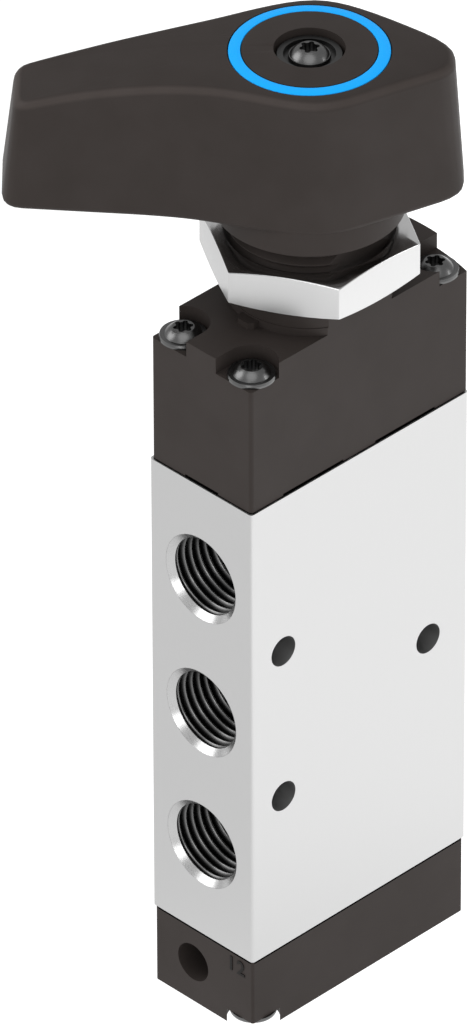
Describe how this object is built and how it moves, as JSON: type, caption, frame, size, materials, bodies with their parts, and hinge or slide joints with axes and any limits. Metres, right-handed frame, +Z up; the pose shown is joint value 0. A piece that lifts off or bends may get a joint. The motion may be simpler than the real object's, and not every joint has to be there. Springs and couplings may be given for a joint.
{
  "type": "selector valve",
  "caption": "Panel-mount pneumatic selector valve: slim aluminium body with threaded ports, dark end pieces, hexagon panel nut and a quarter-turn lever with a blue ring.",
  "frame": {"origin": "centre of the end cap's bottom face", "axes": "+Z up along the spool and the lever, +X out of the wide face with the mounting holes, -Y out of the face with three ports"},
  "size_m": [0.0487, 0.0537, 0.147],
  "materials": {
    "body_aluminium": "fine satin, clear anodised",
    "dark_plastic": "warm dark grey, fine moulded grain",
    "plated_nut": "bright nickel plate",
    "black_steel": "blackened, slightly glossy",
    "blue_plastic": "plain bright blue",
    "machined_steel": "turned",
    "plated_spool": "ground and nickel plated",
    "light_plastic": "natural moulded",
    "seal_rubber": "black nitrile"
  },
  "bodies": {
    "valve": {"valve_body": "body_aluminium", "actuator_housing": "dark_plastic", "end_cap": "dark_plastic", "panel_nut": "plated_nut", "housing_gasket": "seal_rubber", "cap_gasket": "seal_rubber", "housing_screws": "black_steel", "cap_screws": "black_steel", "thrust_washer": "light_plastic", "lower_guide": "light_plastic", "upper_guide": "light_plastic", "spool_seal_1": "seal_rubber", "spool_seal_2": "seal_rubber", "spool_seal_3": "seal_rubber", "spool_seal_4": "seal_rubber", "spool_seal_5": "seal_rubber", "spool_seal_6": "seal_rubber", "spacer_1": "light_plastic", "spacer_2": "light_plastic", "spacer_3": "light_plastic", "spacer_4": "light_plastic", "spacer_5": "light_plastic"},
    "handle": {"selector_handle": "dark_plastic", "marking_ring": "blue_plastic", "handle_bush": "machined_steel", "handle_screw": "black_steel", "selector_shaft": "machined_steel", "shaft_seal": "seal_rubber"},
    "spool": {"spool": "plated_spool", "follower_pin": "machined_steel"}
  },
  "joints": [
    {"name": "handle_turn", "type": "hinge", "parent": "valve", "child": "handle", "pos_m": [0, 0, 0.125], "axis": [0, 0, 1], "range_deg": [0, 90]},
    {"name": "spool_slide", "type": "slide", "parent": "valve", "child": "spool", "axis": [0, 0, 1], "range_m": [0, 0.005]}
  ],
  "couplings": [
    {"joint": "handle_turn", "follows": "spool_slide", "rad_per_m": 314.16}
  ]
}
